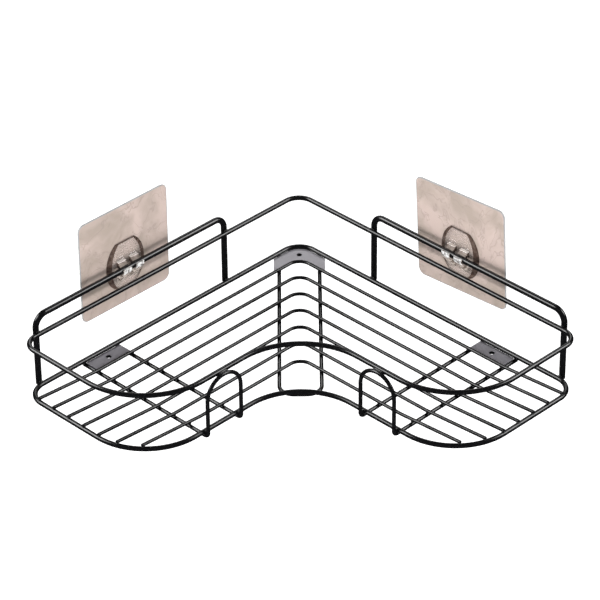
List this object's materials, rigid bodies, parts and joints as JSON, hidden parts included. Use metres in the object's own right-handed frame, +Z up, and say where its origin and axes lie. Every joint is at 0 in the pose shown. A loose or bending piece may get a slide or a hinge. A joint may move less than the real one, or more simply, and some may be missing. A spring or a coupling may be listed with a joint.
{
  "type": "corner shower caddy",
  "caption": "Corner shower shelf of black coated wire with a guard rail, hung by clear clip-over hooks on adhesive wall pads.",
  "frame": {"origin": "under the middle of the caddy's bounding box, on the surface that the loops under the floor would stand on", "axes": "+X to the right, +Y into the corner of the room, +Z up"},
  "size_m": [0.4166, 0.2842, 0.1201],
  "materials": {
    "coated_wire": "gloss black coating over steel wire",
    "plate_steel": "smooth grey-violet coating over sheet steel",
    "clear_plastic": "clear moulded plastic, polished",
    "printed_film": "satin film with a soft rose-beige marbled print",
    "adhesive_gel": "translucent pale grey adhesive gel"
  },
  "bodies": {
    "shelf": {"base_rim": "coated_wire", "guard_rail": "coated_wire", "shelf_wire_1": "coated_wire", "shelf_wire_2": "coated_wire", "shelf_wire_3": "coated_wire", "shelf_wire_4": "coated_wire", "shelf_wire_5": "coated_wire", "shelf_wire_6": "coated_wire", "shelf_wire_7": "coated_wire", "left_arch_loop": "coated_wire", "right_arch_loop": "coated_wire", "centre_loop": "coated_wire", "left_back_frame": "coated_wire", "right_back_frame": "coated_wire", "corner_plate": "plate_steel", "left_plate": "plate_steel", "right_plate": "plate_steel"},
    "left_pad": {"left_hook_clip": "clear_plastic", "left_pad_film": "printed_film", "left_adhesive_layer": "adhesive_gel"},
    "right_pad": {"right_hook_clip": "clear_plastic", "right_pad_film": "printed_film", "right_adhesive_layer": "adhesive_gel"}
  },
  "joints": [
    {"name": "left_pad_swivel", "type": "hinge", "parent": "shelf", "child": "left_pad", "pos_m": [-0.13152, 0.02105, 0.0648], "axis": [0.7071, 0.7071, 0], "range_deg": [-25, 165]},
    {"name": "right_pad_swivel", "type": "hinge", "parent": "shelf", "child": "right_pad", "pos_m": [0.12162, 0.03095, 0.0648], "axis": [0.7071, -0.7071, 0], "range_deg": [-25, 165]}
  ]
}
